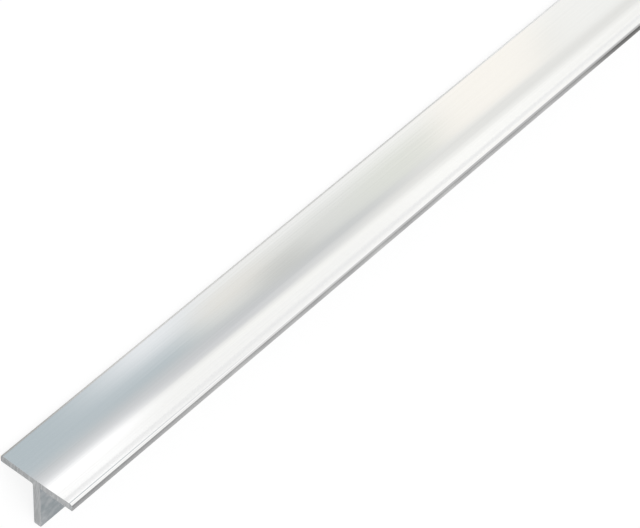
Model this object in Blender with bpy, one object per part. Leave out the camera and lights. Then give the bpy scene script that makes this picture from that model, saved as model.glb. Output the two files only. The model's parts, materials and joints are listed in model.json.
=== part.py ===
"""Aluminium tee section: one length of extruded bar stock with a wide flange and a shorter web.

The bar lies as it does on a level floor, leaning on the left edge of its flange and the tip of its web.
It runs along Y, and the origin is on the floor under the middle of its bounding box.
"""

import math

import bpy

# Sizes of the stock, in metres
STOCK_LENGTH = 1.000
FLANGE_WIDTH = 0.020
SECTION_HEIGHT = 0.015
FLANGE_THICKNESS = 0.002
WEB_THICKNESS = 0.002

# Rounding left by the extrusion die, in metres
FACE_EDGE_RADIUS = 0.00075
BACK_EDGE_RADIUS = 0.0003
ROOT_RADIUS = 0.0004

# Segments in each quarter round
ARC_STEPS = 6
QUARTER = math.pi / 2

# Mill finish
ALUMINIUM_COLOUR = (0.80, 0.81, 0.82, 1.0)
ALUMINIUM_ROUGHNESS = 0.28


def clear_scene():
    """Remove whatever objects the scene holds."""
    for old in list(bpy.data.objects):
        bpy.data.objects.remove(old)


def arc(centre, radius, start, end):
    """Points of a round from one angle to another, both ends included."""
    turns = [start + (end - start) * step / ARC_STEPS for step in range(ARC_STEPS + 1)]
    return [(centre[0] + radius * math.cos(turn), centre[1] + radius * math.sin(turn)) for turn in turns]


def right_half():
    """Right half of the section, clockwise from the flange's face, with the web's tip at height 0."""
    face = SECTION_HEIGHT
    back = SECTION_HEIGHT - FLANGE_THICKNESS
    edge = FLANGE_WIDTH / 2
    side = WEB_THICKNESS / 2
    face_corner = (edge - FACE_EDGE_RADIUS, face - FACE_EDGE_RADIUS)
    back_corner = (edge - BACK_EDGE_RADIUS, back + BACK_EDGE_RADIUS)
    root = (side + ROOT_RADIUS, back - ROOT_RADIUS)
    tip_corner = (side - BACK_EDGE_RADIUS, BACK_EDGE_RADIUS)
    return (
        arc(face_corner, FACE_EDGE_RADIUS, QUARTER, 0)
        + arc(back_corner, BACK_EDGE_RADIUS, 0, -QUARTER)
        + arc(root, ROOT_RADIUS, QUARTER, 2 * QUARTER)
        + arc(tip_corner, BACK_EDGE_RADIUS, 0, -QUARTER)
    )


def section_outline():
    """Whole section: the right half and its mirror image."""
    right = right_half()
    left = [(-across, up) for across, up in reversed(right)]
    return right + left


def lean_angle():
    """Tilt that brings the flange's back corner and the web's tip, which have equal rounds, to one level."""
    drop = SECTION_HEIGHT - FLANGE_THICKNESS
    reach = (FLANGE_WIDTH - WEB_THICKNESS) / 2
    return math.atan2(drop, reach)


def resting_place(outline, lean):
    """Where the section's own origin goes, so that the leaning bar touches the floor and is centred."""
    across = [x * math.cos(lean) - y * math.sin(lean) for x, y in outline]
    up = [x * math.sin(lean) + y * math.cos(lean) for x, y in outline]
    return (-(min(across) + max(across)) / 2, 0, -min(up))


def mill_aluminium():
    """Plain extruded aluminium, neither painted nor anodised."""
    material = bpy.data.materials.new("mill_aluminium")
    material.use_nodes = True
    shader = material.node_tree.nodes["Principled BSDF"]
    shader.inputs["Base Color"].default_value = ALUMINIUM_COLOUR
    shader.inputs["Metallic"].default_value = 1.0
    shader.inputs["Roughness"].default_value = ALUMINIUM_ROUGHNESS
    return material


def tee_bar(collection):
    """The bar: the section's outline filled and extruded to the stock's length."""
    outline = section_outline()
    lean = lean_angle()
    curve = bpy.data.curves.new("tee_bar", "CURVE")
    curve.dimensions = "2D"
    curve.fill_mode = "BOTH"
    curve.extrude = STOCK_LENGTH / 2
    spline = curve.splines.new("POLY")
    spline.points.add(len(outline) - 1)
    for point, (across, up) in zip(spline.points, outline):
        point.co = (across, up, 0, 1)
    spline.use_cyclic_u = True
    curve.materials.append(mill_aluminium())
    bar = bpy.data.objects.new("tee_bar", curve)
    bar.rotation_euler = (QUARTER, -lean, 0)
    bar.location = resting_place(outline, lean)
    collection.objects.link(bar)


clear_scene()
parts = bpy.data.collections.new("aluminium_tee_section")
bpy.context.scene.collection.children.link(parts)
tee_bar(parts)
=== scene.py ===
import json
import math
from collections import namedtuple

import bmesh
import bpy
from mathutils import Matrix, Vector


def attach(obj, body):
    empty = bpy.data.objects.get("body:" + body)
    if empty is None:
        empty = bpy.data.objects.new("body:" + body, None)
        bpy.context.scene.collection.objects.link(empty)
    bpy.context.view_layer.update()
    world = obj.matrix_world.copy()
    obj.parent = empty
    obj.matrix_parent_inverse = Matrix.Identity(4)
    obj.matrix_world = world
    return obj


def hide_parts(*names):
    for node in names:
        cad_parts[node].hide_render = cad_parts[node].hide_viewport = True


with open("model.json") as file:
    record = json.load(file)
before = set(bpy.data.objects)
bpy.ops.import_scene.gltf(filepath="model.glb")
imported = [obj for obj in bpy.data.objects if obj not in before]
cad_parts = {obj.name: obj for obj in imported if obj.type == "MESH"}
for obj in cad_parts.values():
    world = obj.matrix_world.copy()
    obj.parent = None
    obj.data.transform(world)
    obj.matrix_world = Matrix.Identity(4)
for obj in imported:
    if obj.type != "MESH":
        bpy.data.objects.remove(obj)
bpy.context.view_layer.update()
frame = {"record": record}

# Sizes of the bar, in metres, as the solid has them
STOCK_LENGTH = 1.000
FLANGE_WIDTH = 0.020
SECTION_HEIGHT = 0.015
FLANGE_THICKNESS = 0.002
WEB_THICKNESS = 0.002
FACE_EDGE_RADIUS = 0.00075
BACK_EDGE_RADIUS = 0.0003
ROOT_RADIUS = 0.0004

# Radius in metres of the flange's right back corner, which is crisper than the solid has it
CRISP_EDGE_RADIUS = 0.0001

# Segments in each quarter round
ROUND_SEGMENTS = 6

# Dish of the flange's face, with a faint ripple near its right edge, which the solid leaves out: places
# across the flange in metres, each with the degrees by which the face falls towards the right there
FACE_SLOPES = [
    (-0.0092, 2.9),
    (0.0000, 0.5),
    (0.0015, 0.0),
    (0.0055, -2.4),
    (0.0072, -2.5),
    (0.0081, -3.2),
    (0.0087, -2.8),
    (0.0092, -2.6),
]

# Width in metres of the strips that the dished face is cut into, and the steps that add up its fall
FACE_STRIP = 0.0002
SLOPE_STEPS = 800

# Hairline chamfer between the face and its right arris: its width in metres and its fall
HAIRLINE = 0.0001
HAIRLINE_SLOPE = math.radians(2.5)

# Places across the flange where the dished face meets the left arris and the hairline
LEFT_END = FACE_EDGE_RADIUS - FLANGE_WIDTH / 2
RIGHT_END = -LEFT_END - HAIRLINE

# Saw cuts: their chamfer in metres, and how far for each metre the near one runs back across the flange
# and down the web
SAW_CHAMFER = 0.00008
SAW_BACK_ACROSS = 0.012
SAW_BACK_DOWN = 0.0066

# Cosines that tell the bar's faces apart: square to an axis, leaning its way at all, and as far round the
# right arris as it is bright
SQUARE = 0.999
LEANING = 0.1
BRIGHT_ARRIS = 0.55

# An edge that turns by more than this is sharp, and places closer than this, in metres, are the same
SHARP_TURN = math.radians(30)
TOUCH = 1e-6

# Finishes, in the order of the bar's material slots; all but the face's have shade painted into their
# colour
FACE, ARRIS, SIDE, BACK, SAWN = range(5)

# Colours of the metal, the darker before the lighter where there are two; only the face's is the bare metal
FACE_METAL = ((0.865, 0.865, 0.865), (0.89, 0.89, 0.89))
# Left arris: painted shade, darkest close to the near end, lighter past it, and pale further along
NEAR_END_ARRIS_SHADE = (0.46, 0.46, 0.45)
SHADED_ARRIS = (0.74, 0.735, 0.72)
PALE_ARRIS = (0.88, 0.88, 0.87)
# Side of the flange: painted shade, patchy, darker close to the near end, and deep painted shade over one
# length
SHADED_SIDE_METAL = ((0.43, 0.43, 0.432), (0.58, 0.58, 0.575))
SIDE_SHADE_NEAR_END = (0.385, 0.385, 0.388)
DEEP_SIDE_SHADE = (0.16, 0.158, 0.152)
# Web and back of the flange: painted bluish shade
SHADED_BACK_METAL = ((0.295, 0.33, 0.35), (0.46, 0.475, 0.49))
# Saw cut: grey partly from its sawn finish and partly painted shade
SAWN_METAL_AND_SHADE = ((0.38, 0.39, 0.395), (0.60, 0.605, 0.61))

# Roughness of the finishes from smoothest to roughest, with one for the left arris and the flange's side
FACE_ROUGHNESS = (0.062, 0.078)
EDGE_ROUGHNESS = (0.24, 0.34)
BACK_ROUGHNESS = (0.30, 0.42)
SAWN_ROUGHNESS = (0.42, 0.58)

# Grains of the finishes, in metres: across the flange, along the bar and out of its face
FACE_LINES = (0.00025, 0.08, 0.00025)
FACE_WAVES = (0.005, 0.06, 0.005)
EDGE_LINES = (0.0002, 0.03, 0.0002)
SIDE_PATCHES = (0.01, 0.012, 0.01)
BACK_LINES = (0.0003, 0.02, 0.0003)
BACK_CLOUDS = (0.0016, 0.0022, 0.0016)
SAW_SCRATCHES = (0.00025, 0.001, 0.004)

# How far the saw's scratches lean from the web's own direction
SAW_LEAN = math.radians(8)

# Depths of lines, waves and scratches, in metres
FACE_LINE_DEPTH = 0.00000015
FACE_WAVE_DEPTH = 0.000004
EDGE_LINE_DEPTH = 0.000004
BACK_LINE_DEPTH = 0.000006
SAW_SCRATCH_DEPTH = 0.00001

# Noise keeps mostly between these two values
NOISE_RANGE = (0.3, 0.7)

# Distances from the near end in metres: how far the painted shade on the flange's edges is darkest,
# where the left arris turns pale, and where the side's painted shade deepens and lightens again
NEAR_END_SHADE_LENGTH = 0.045
PALE_FROM = (0.13, 0.17)
DARK_FROM = (0.168, 0.192)
DARK_UNTIL = (0.26, 0.32)

# Camera, in metres in the bar's own frame: across the flange, along from the near end, out of the face
CAMERA_PLACE = (0.27470, -0.27275, 0.48191)
CAMERA_AIM = (0.00395, 0.08565, 0.0)
CAMERA_ROLL = math.radians(4.141)

# Lens: focal length and image width in pixels, sensor width in millimetres, and how near and how far it
# sees in metres
FOCAL_PIXELS = 3001.6
IMAGE_WIDTH = 640
SENSOR_WIDTH = 36.0
NEAREST_SEEN = 0.01
FARTHEST_SEEN = 200

# Floor: half its size in metres, its paint, the plain white that the camera sees instead of most of the
# shaded paint, the share of that white, and the light that the paint gains where the metal mirrors it
FLOOR_HALF_SIZE = 30.0
FLOOR_COLOUR = (0.91, 0.91, 0.91, 1.0)
FLOOR_WHITE = 1.08
WHITE_SHARE = 0.80
MIRROR_LIFT = 0.15

# Studio: white for the camera, and round the bar a soft tent with one colour at the horizon and a brighter
# one from this many degrees up
WHITE = (1.0, 1.0, 1.0)
HORIZON = (1.035, 1.035, 1.02)
ZENITH = (1.13, 1.13, 1.12)
ZENITH_FROM = 30

# Soft-edged panels in the tent, each laid over those before it. Left and right are degrees from -X towards
# +Y, low and high are degrees above the floor, and a panel fades in and out over its soft width and height.
Panel = namedtuple("Panel", "left right low high soft_width soft_height colour")

# Two grey cards that the side of the flange mirrors, and one that keeps the face from going white in views
# from beyond the far end
CARDS = [
    Panel(52.0, 168.0, -5.0, 57.0, 12.0, 8.0, (0.56, 0.56, 0.56)),
    Panel(136.0, 172.0, -5.0, 57.0, 16.0, 8.0, (0.72, 0.72, 0.72)),
    Panel(-115.0, 8.0, 14.0, 80.0, 24.0, 14.0, (0.69, 0.70, 0.715)),
]

# Panels that the face and its right arris mirror for the camera, rolled together about one direction
GROUP_AZIMUTH = 32
GROUP_ELEVATION = 5
GROUP_ROLL = math.radians(9)
GROUP = [
    Panel(30.5, 60.0, 1.0, 2.6, 3.0, 1.2, (1.09, 1.09, 1.06)),
    Panel(36.0, 60.0, -9.0, 1.4, 3.0, 2.0, (1.20, 1.20, 1.17)),
    Panel(-25.0, 60.0, 2.5, 5.4, 10.0, 2.6, (0.86, 0.86, 0.835)),
    Panel(-25.0, 33.5, 2.6, 5.4, 5.0, 1.4, (0.69, 0.70, 0.715)),
    Panel(-25.0, 35.5, 4.5, 5.8, 3.0, 1.6, (0.58, 0.60, 0.61)),
    Panel(-25.0, 28.9, 0.2, 2.7, 2.0, 4.4, (1.35, 1.35, 1.36)),
    Panel(-25.0, 60.0, 5.35, 14.0, 10.0, 0.5, (0.80, 0.81, 0.785)),
    Panel(34.4, 36.3, 5.35, 14.0, 1.5, 0.5, (0.815, 0.835, 0.775)),
    Panel(12.0, 60.0, 8.2, 14.5, 10.0, 3.0, (1.08, 1.08, 1.07)),
    Panel(-25.0, 60.0, 14.5, 22.0, 10.0, 2.0, (0.98, 0.98, 0.97)),
    Panel(-25.0, 31.0, 14.5, 22.0, 4.0, 2.0, (0.74, 0.73, 0.735)),
    Panel(-25.0, 30.3, 5.1, 14.0, 1.0, 0.6, (0.51, 0.58, 0.615)),
    Panel(28.4, 30.3, 6.8, 14.0, 3.0, 2.4, (1.06, 1.07, 1.09)),
    Panel(30.4, 32.0, 6.2, 7.8, 0.5, 0.9, (0.89, 0.87, 0.82)),
    Panel(31.9, 33.0, 5.0, 6.7, 0.6, 1.0, (0.62, 0.63, 0.61)),
    Panel(36.3, 38.9, 5.3, 14.0, 0.5, 0.5, (1.085, 1.05, 0.985)),
    Panel(39.1, 60.0, 5.3, 14.0, 0.6, 0.5, (1.00, 1.005, 0.98)),
]


def section_frame():
    """Matrix from the bar's own frame to the world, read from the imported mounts.

    The bar's own frame has X across the flange, Y along the bar and Z out of the flange's face, with its
    origin in the middle of that face.
    """
    mounts = {mount["name"]: mount for mount in frame["record"]["mounts"]}
    across = Vector(mounts["web_right_side"]["axis"]).normalized()
    outward = Vector(mounts["flange_face"]["axis"]).normalized()
    along = outward.cross(across)
    turned = Matrix((across, along, outward)).transposed().to_4x4()
    return Matrix.Translation(Vector(mounts["flange_face"]["pos_m"])) @ turned


SECTION = section_frame()


def new_object(name, bm, materials):
    """Finish a bmesh as an object at the origin."""
    mesh = bpy.data.meshes.new(name)
    bm.to_mesh(mesh)
    bm.free()
    for material in materials:
        mesh.materials.append(material)
    piece = bpy.data.objects.new(name, mesh)
    bpy.context.scene.collection.objects.link(piece)
    return piece


def sharp_section(bm, y):
    """The section's eight corners as one face, at a place along the bar."""
    edge = FLANGE_WIDTH / 2
    side = WEB_THICKNESS / 2
    corners = [
        (-edge, 0),
        (-edge, -FLANGE_THICKNESS),
        (-side, -FLANGE_THICKNESS),
        (-side, -SECTION_HEIGHT),
        (side, -SECTION_HEIGHT),
        (side, -FLANGE_THICKNESS),
        (edge, -FLANGE_THICKNESS),
        (edge, 0),
    ]
    return bm.faces.new([bm.verts.new((x, y, z)) for x, z in corners])


def extrude_section(bm):
    """The section extruded to the stock's length, less the saw cuts' chamfers."""
    reach = STOCK_LENGTH / 2 - SAW_CHAMFER
    start = sharp_section(bm, -reach)
    grown = bmesh.ops.extrude_face_region(bm, geom=[start])
    moved = [item for item in grown["geom"] if isinstance(item, bmesh.types.BMVert)]
    bmesh.ops.translate(bm, verts=moved, vec=(0, 2 * reach, 0))
    bmesh.ops.recalc_face_normals(bm, faces=bm.faces)


def round_edge(bm, across, outward, radius):
    """Round the edge that runs along the bar at this place in its section."""
    place = Vector((across, outward))
    edges = [edge for edge in bm.edges if all((vert.co.xz - place).length < TOUCH for vert in edge.verts)]
    bmesh.ops.bevel(bm, geom=edges, offset=radius, segments=ROUND_SEGMENTS, profile=0.5, affect="EDGES",
                    material=-1)


def round_long_edges(bm):
    """Round the arrises, the web's tip, the two roots and the flange's back corners."""
    edge = FLANGE_WIDTH / 2
    for side in (-1, 1):
        web = side * WEB_THICKNESS / 2
        round_edge(bm, side * edge, 0, FACE_EDGE_RADIUS)
        round_edge(bm, web, -FLANGE_THICKNESS, ROOT_RADIUS)
        round_edge(bm, web, -SECTION_HEIGHT, BACK_EDGE_RADIUS)
    round_edge(bm, -edge, -FLANGE_THICKNESS, BACK_EDGE_RADIUS)
    round_edge(bm, edge, -FLANGE_THICKNESS, CRISP_EDGE_RADIUS)
    bm.normal_update()


def cut_face_strips(bm):
    """Cut the flange's face into narrow strips along the bar, and leave the hairline as the last one."""
    count = round((RIGHT_END - LEFT_END) / FACE_STRIP)
    for strip in range(count):
        faces = [face for face in bm.faces if face.normal.z > SQUARE]
        edges = {edge for face in faces for edge in face.edges}
        verts = {vert for face in faces for vert in face.verts}
        x = LEFT_END + (RIGHT_END - LEFT_END) * (strip + 1) / count
        bmesh.ops.bisect_plane(bm, geom=[*faces, *edges, *verts], dist=TOUCH, plane_co=(x, 0, 0),
                               plane_no=(1, 0, 0))
        bm.normal_update()


def face_slope(x):
    """How far the face falls for each metre towards the right, at a place across the flange."""
    for before, after in zip(FACE_SLOPES, FACE_SLOPES[1:]):
        if x < after[0]:
            break
    share = min(max((x - before[0]) / (after[0] - before[0]), 0), 1)
    return math.tan(math.radians(before[1] + share * (after[1] - before[1])))


def relieve_face(bm):
    """Dish the face a little and chamfer its right edge by a hairline, fading out down the arrises."""
    width = (RIGHT_END - LEFT_END) / SLOPE_STEPS
    heights = [0.0]
    for step in range(SLOPE_STEPS):
        middle = LEFT_END + (step + 0.5) * width
        heights.append(heights[-1] - face_slope(middle) * width)
    top = max(heights)
    for vert in bm.verts:
        share = 1 + vert.co.z / FACE_EDGE_RADIUS
        if share > 0:
            place = min(max(vert.co.x, LEFT_END), RIGHT_END)
            sunk = top - heights[round((place - LEFT_END) / width)]
            beyond = min(max(vert.co.x - RIGHT_END, 0), HAIRLINE)
            vert.co.z -= share * (sunk + beyond * math.tan(HAIRLINE_SLOPE))
    bm.normal_update()


def finish_of(face):
    """Which finish a face has.

    The right arris starts as bright as the face and ends like the flange's side, in its painted shade.
    The left one has painted shade.
    """
    across = face.calc_center_median().x
    if abs(face.normal.y) > SQUARE:
        return SAWN
    if abs(across) < -LEFT_END:
        return FACE if face.normal.z > LEANING else BACK
    if across > 0 and face.normal.z > BRIGHT_ARRIS:
        return FACE
    return ARRIS if across < 0 and face.normal.z > LEANING else SIDE


def ease_saw_cuts(bm):
    """Chamfer both saw cuts."""
    ends = [face for face in bm.faces if abs(face.normal.y) > SQUARE]
    bmesh.ops.inset_individual(bm, faces=ends, thickness=SAW_CHAMFER, depth=SAW_CHAMFER)
    bm.normal_update()


def smooth_rounds(bm):
    """Smooth shading, apart from the saw cuts' edges and the two long edges where the dished face ends."""
    for face in bm.faces:
        face.smooth = True
    for edge in bm.edges:
        middle = (edge.verts[0].co + edge.verts[1].co) / 2
        beside_face = min(abs(middle.x - LEFT_END), abs(middle.x - RIGHT_END)) < TOUCH
        face_end = beside_face and middle.z > -FACE_EDGE_RADIUS and edge.calc_length() > STOCK_LENGTH / 2
        edge.smooth = edge.calc_face_angle(0) < SHARP_TURN and not face_end


def turn_near_cut(bm):
    """Turn the near saw cut a little out of square, inward from the flange's left edge."""
    for vert in bm.verts:
        if vert.co.y < 0:
            vert.co.y += SAW_BACK_ACROSS * (vert.co.x + FLANGE_WIDTH / 2) - SAW_BACK_DOWN * vert.co.z


def bar_bmesh():
    """The bar in its own frame, with its finishes set face by face."""
    bm = bmesh.new()
    extrude_section(bm)
    round_long_edges(bm)
    cut_face_strips(bm)
    relieve_face(bm)
    for face in bm.faces:
        face.material_index = finish_of(face)
    ease_saw_cuts(bm)
    smooth_rounds(bm)
    turn_near_cut(bm)
    return bm


def add_node(tree, kind, **settings):
    """New node of this kind, with these settings."""
    node = tree.nodes.new(kind)
    for name, value in settings.items():
        setattr(node, name, value)
    return node


def calculate(tree, operation, *values):
    """Result of a math node fed with sockets or numbers."""
    node = add_node(tree, "ShaderNodeMath", operation=operation)
    for socket, value in zip(node.inputs, values):
        if isinstance(value, (int, float)):
            socket.default_value = value
        else:
            tree.links.new(value, socket)
    return node.outputs[0]


def map_range(tree, value, given, wanted, interpolation="LINEAR"):
    """Bring a value from one range to another, and keep it within that one."""
    node = add_node(tree, "ShaderNodeMapRange", interpolation_type=interpolation)
    for name, limit in zip(("From Min", "From Max", "To Min", "To Max"), (*given, *wanted)):
        node.inputs[name].default_value = limit
    tree.links.new(value, node.inputs["Value"])
    return node.outputs["Result"]


def spread(tree, noise, low, high):
    """Noise brought between two values."""
    return map_range(tree, noise, NOISE_RANGE, (low, high))


def soft_step(tree, value, start, end):
    """Smooth step from 0 at the start to 1 at the end, whichever of the two is larger."""
    levels = (0, 1) if start < end else (1, 0)
    return map_range(tree, value, sorted((start, end)), levels, "SMOOTHSTEP")


def blend(tree, share, below, above):
    """Mix two colours, each a socket or three numbers."""
    node = add_node(tree, "ShaderNodeMix", data_type="RGBA")
    tree.links.new(share, node.inputs["Factor"])
    for socket, colour in ((node.inputs["A"], below), (node.inputs["B"], above)):
        if isinstance(colour, tuple):
            socket.default_value = (*colour, 1)
        else:
            tree.links.new(colour, socket)
    return node.outputs["Result"]


def bar_place(tree, size, lean=0):
    """Object coordinates turned to the bar's own axes, leant about the bar, and counted in this size."""
    mapping = add_node(tree, "ShaderNodeMapping", vector_type="TEXTURE")
    mapping.inputs["Location"].default_value = SECTION.to_translation()
    mapping.inputs["Rotation"].default_value = (SECTION @ Matrix.Rotation(lean, 4, "Y")).to_euler()
    mapping.inputs["Scale"].default_value = size
    tree.links.new(add_node(tree, "ShaderNodeTexCoord").outputs["Object"], mapping.inputs["Vector"])
    return mapping.outputs["Vector"]


def from_near_end(tree):
    """Distance from the near end in metres."""
    split = add_node(tree, "ShaderNodeSeparateXYZ")
    tree.links.new(bar_place(tree, (1, 1, 1)), split.inputs[0])
    return calculate(tree, "ADD", split.outputs["Y"], STOCK_LENGTH / 2)


def grain(tree, size, detail, lean=0):
    """Noise whose grains have this size across the flange, along the bar and out of its face."""
    noise = add_node(tree, "ShaderNodeTexNoise")
    noise.inputs["Scale"].default_value = 1
    noise.inputs["Detail"].default_value = detail
    tree.links.new(bar_place(tree, size, lean), noise.inputs["Vector"])
    return noise.outputs["Fac"]


def relief(tree, height, depth, under=None):
    """Bump of this depth in metres, on top of another where one is given."""
    bump = add_node(tree, "ShaderNodeBump")
    bump.inputs["Distance"].default_value = depth
    tree.links.new(height, bump.inputs["Height"])
    if under:
        tree.links.new(under, bump.inputs["Normal"])
    return bump.outputs["Normal"]


def bare_metal(name):
    """New material of plain metal, with its node tree."""
    material = bpy.data.materials.new(name)
    material.use_nodes = True
    material.node_tree.nodes["Principled BSDF"].inputs["Metallic"].default_value = 1
    return material, material.node_tree


def dress(tree, colour, roughness, normal):
    """Feed a metal's shader with its colour, its roughness and its relief."""
    shader = tree.nodes["Principled BSDF"]
    for name, source in (("Base Color", colour), ("Roughness", roughness), ("Normal", normal)):
        tree.links.new(source, shader.inputs[name])


def mill_face():
    """Bright drawn face: nearly a mirror, with die lines along the bar and a faint waviness."""
    material, tree = bare_metal("mill_face")
    lines = grain(tree, FACE_LINES, detail=3)
    waves = grain(tree, FACE_WAVES, detail=1)
    metal = blend(tree, spread(tree, lines, 0, 1), *FACE_METAL)
    wavy = relief(tree, waves, FACE_WAVE_DEPTH)
    dress(tree, metal, spread(tree, lines, *FACE_ROUGHNESS), relief(tree, lines, FACE_LINE_DEPTH, wavy))
    return material


def shaded_mill_arris():
    """Left arris: satin, with painted shade, darkest close to the near end, lighter past it, and pale
    further along.
    """
    material, tree = bare_metal("shaded_mill_arris")
    lines = grain(tree, EDGE_LINES, detail=3)
    distance = from_near_end(tree)
    past_near_end = soft_step(tree, distance, 0, NEAR_END_SHADE_LENGTH)
    pale = soft_step(tree, distance, *PALE_FROM)
    # Painted shade: darkest close to the near end, lighter past it
    metal = blend(tree, past_near_end, NEAR_END_ARRIS_SHADE, SHADED_ARRIS)
    metal = blend(tree, pale, metal, PALE_ARRIS)
    dress(tree, metal, spread(tree, lines, *EDGE_ROUGHNESS), relief(tree, lines, EDGE_LINE_DEPTH))
    return material


def shaded_mill_side():
    """Satin side of the flange: patchy, with painted shade, darker close to the near end and over one
    length.
    """
    material, tree = bare_metal("shaded_mill_side")
    lines = grain(tree, EDGE_LINES, detail=3)
    patches = grain(tree, SIDE_PATCHES, detail=2)
    distance = from_near_end(tree)
    past_near_end = soft_step(tree, distance, 0, NEAR_END_SHADE_LENGTH)
    darkens = soft_step(tree, distance, *DARK_FROM)
    clears = soft_step(tree, distance, *reversed(DARK_UNTIL))
    metal = blend(tree, spread(tree, patches, 0, 1), *SHADED_SIDE_METAL)
    # Painted shade, darker close to the near end, and deep painted shade over one length
    metal = blend(tree, past_near_end, SIDE_SHADE_NEAR_END, metal)
    metal = blend(tree, calculate(tree, "MULTIPLY", darkens, clears), metal, DEEP_SIDE_SHADE)
    dress(tree, metal, spread(tree, lines, *EDGE_ROUGHNESS), relief(tree, lines, EDGE_LINE_DEPTH))
    return material


def shaded_mill_back():
    """Web and back of the flange: duller, with painted bluish shade, die lines and cloudy patches."""
    material, tree = bare_metal("shaded_mill_back")
    lines = grain(tree, BACK_LINES, detail=3)
    clouds = grain(tree, BACK_CLOUDS, detail=3)
    metal = blend(tree, spread(tree, clouds, 0, 1), *SHADED_BACK_METAL)
    dress(tree, metal, spread(tree, lines, *BACK_ROUGHNESS), relief(tree, lines, BACK_LINE_DEPTH))
    return material


def sawn_end_and_shade():
    """Saw cut: matt grey, partly sawn finish and partly painted shade, with fine scratches that the blade
    left down the web.
    """
    material, tree = bare_metal("sawn_end_and_shade")
    scratches = grain(tree, SAW_SCRATCHES, detail=3, lean=SAW_LEAN)
    metal = blend(tree, spread(tree, scratches, 0, 1), *SAWN_METAL_AND_SHADE)
    roughness = spread(tree, scratches, *SAWN_ROUGHNESS)
    dress(tree, metal, roughness, relief(tree, scratches, SAW_SCRATCH_DEPTH))
    return material


def make_bar():
    """The bar as one piece, in place of the plain solid."""
    bm = bar_bmesh()
    bmesh.ops.transform(bm, matrix=SECTION, verts=bm.verts)
    materials = [mill_face(), shaded_mill_arris(), shaded_mill_side(), shaded_mill_back(), sawn_end_and_shade()]
    bar = new_object("tee_section", bm, materials)
    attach(bar, "root")
    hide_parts("tee_bar")


def mix_shaders(tree, share, first, second):
    """The first shader, or the second as far as the share says."""
    mix = add_node(tree, "ShaderNodeMixShader")
    for socket, source in zip(mix.inputs, (share, first, second)):
        tree.links.new(source, socket)
    return mix.outputs[0]


def floor_paint():
    """Pale floor: to the camera white with a faint shadow of the bar, and nothing from below."""
    material = bpy.data.materials.new("pale_floor")
    material.use_nodes = True
    tree = material.node_tree
    tree.nodes.clear()
    path = add_node(tree, "ShaderNodeLightPath")
    paint = add_node(tree, "ShaderNodeBsdfDiffuse")
    paint.inputs["Color"].default_value = FLOOR_COLOUR
    lift = add_node(tree, "ShaderNodeEmission")
    strength = calculate(tree, "MULTIPLY", path.outputs["Is Glossy Ray"], MIRROR_LIFT)
    tree.links.new(strength, lift.inputs["Strength"])
    painted = add_node(tree, "ShaderNodeAddShader")
    tree.links.new(paint.outputs[0], painted.inputs[0])
    tree.links.new(lift.outputs[0], painted.inputs[1])
    white = add_node(tree, "ShaderNodeEmission")
    white.inputs["Strength"].default_value = FLOOR_WHITE
    seen = calculate(tree, "MULTIPLY", path.outputs["Is Camera Ray"], WHITE_SHARE)
    above = mix_shaders(tree, seen, painted.outputs[0], white.outputs[0])
    geometry = add_node(tree, "ShaderNodeNewGeometry")
    below = calculate(tree, "MULTIPLY", path.outputs["Is Camera Ray"], geometry.outputs["Backfacing"])
    clear = add_node(tree, "ShaderNodeBsdfTransparent")
    surface = mix_shaders(tree, below, above, clear.outputs[0])
    tree.links.new(surface, add_node(tree, "ShaderNodeOutputMaterial").inputs["Surface"])
    return material


def make_floor():
    """Wide pale floor under the bar."""
    bm = bmesh.new()
    bmesh.ops.create_grid(bm, x_segments=1, y_segments=1, size=FLOOR_HALF_SIZE)
    new_object("floor", bm, [floor_paint()])


def tent_direction(tree):
    """Azimuth from -X towards +Y, and elevation, both in degrees."""
    split = add_node(tree, "ShaderNodeSeparateXYZ")
    tree.links.new(add_node(tree, "ShaderNodeTexCoord").outputs["Generated"], split.inputs[0])
    back = calculate(tree, "MULTIPLY", split.outputs["X"], -1)
    azimuth = calculate(tree, "DEGREES", calculate(tree, "ARCTAN2", split.outputs["Y"], back))
    elevation = calculate(tree, "DEGREES", calculate(tree, "ARCSINE", split.outputs["Z"]))
    return azimuth, elevation


def rolled(tree, azimuth, elevation):
    """Azimuth and elevation in the group's own rolled frame."""
    beside = calculate(tree, "SUBTRACT", azimuth, GROUP_AZIMUTH)
    above = calculate(tree, "SUBTRACT", elevation, GROUP_ELEVATION)
    cosine = math.cos(GROUP_ROLL)
    sine = math.sin(GROUP_ROLL)
    along = calculate(tree, "SUBTRACT", calculate(tree, "MULTIPLY", beside, cosine),
                      calculate(tree, "MULTIPLY", above, sine))
    upward = calculate(tree, "ADD", calculate(tree, "MULTIPLY", above, cosine),
                       calculate(tree, "MULTIPLY", beside, sine))
    return calculate(tree, "ADD", along, GROUP_AZIMUTH), calculate(tree, "ADD", upward, GROUP_ELEVATION)


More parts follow.
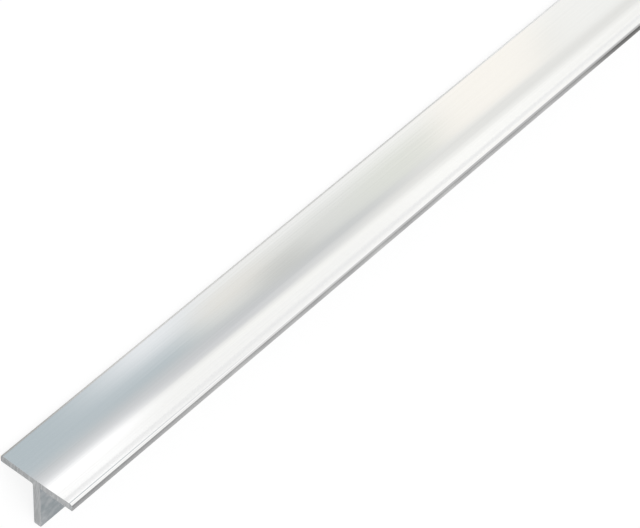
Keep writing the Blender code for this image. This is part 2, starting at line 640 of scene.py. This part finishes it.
def panel_share(tree, azimuth, elevation, panel):
    """How far a direction lies inside a soft-edged panel."""
    half_width = panel.soft_width / 2
    half_height = panel.soft_height / 2
    after_left = soft_step(tree, azimuth, panel.left - half_width, panel.left + half_width)
    before_right = soft_step(tree, azimuth, panel.right + half_width, panel.right - half_width)
    over_low = soft_step(tree, elevation, panel.low - half_height, panel.low + half_height)
    under_high = soft_step(tree, elevation, panel.high + half_height, panel.high - half_height)
    across = calculate(tree, "MULTIPLY", after_left, before_right)
    upward = calculate(tree, "MULTIPLY", over_low, under_high)
    return calculate(tree, "MULTIPLY", across, upward)


def lay_panels(tree, colour, panels, azimuth, elevation):
    """The tent's colour with these panels laid over it."""
    for panel in panels:
        colour = blend(tree, panel_share(tree, azimuth, elevation, panel), colour, panel.colour)
    return colour


def make_world():
    """White studio for the camera, and for the bar and the floor a bright tent with soft panels."""
    world = bpy.data.worlds.new("studio")
    bpy.context.scene.world = world
    world.use_nodes = True
    tree = world.node_tree
    azimuth, elevation = tent_direction(tree)
    colour = blend(tree, soft_step(tree, elevation, 0, ZENITH_FROM), HORIZON, ZENITH)
    colour = lay_panels(tree, colour, CARDS, azimuth, elevation)
    colour = lay_panels(tree, colour, GROUP, *rolled(tree, azimuth, elevation))
    path = add_node(tree, "ShaderNodeLightPath")
    colour = blend(tree, path.outputs["Is Camera Ray"], colour, WHITE)
    tree.links.new(colour, tree.nodes["Background"].inputs["Color"])


def make_camera():
    """Camera at the place that the photograph was taken from, worked out in the bar's own frame."""
    near = Vector((0, SAW_BACK_ACROSS * FLANGE_WIDTH / 2 - STOCK_LENGTH / 2, 0))
    place = near + Vector(CAMERA_PLACE)
    aim = near + Vector(CAMERA_AIM)
    turn = (aim - place).to_track_quat("-Z", "Y").to_matrix().to_4x4()
    roll = Matrix.Rotation(CAMERA_ROLL, 4, "Z")
    data = bpy.data.cameras.new("camera")
    data.sensor_width = SENSOR_WIDTH
    data.lens = FOCAL_PIXELS * SENSOR_WIDTH / IMAGE_WIDTH
    data.clip_start = NEAREST_SEEN
    data.clip_end = FARTHEST_SEEN
    camera = bpy.data.objects.new("camera", data)
    camera.matrix_world = SECTION @ Matrix.Translation(place) @ turn @ roll
    bpy.context.scene.collection.objects.link(camera)
    bpy.context.scene.camera = camera


make_bar()
make_floor()
make_world()
make_camera()
bpy.context.scene.view_settings.view_transform = "Standard"
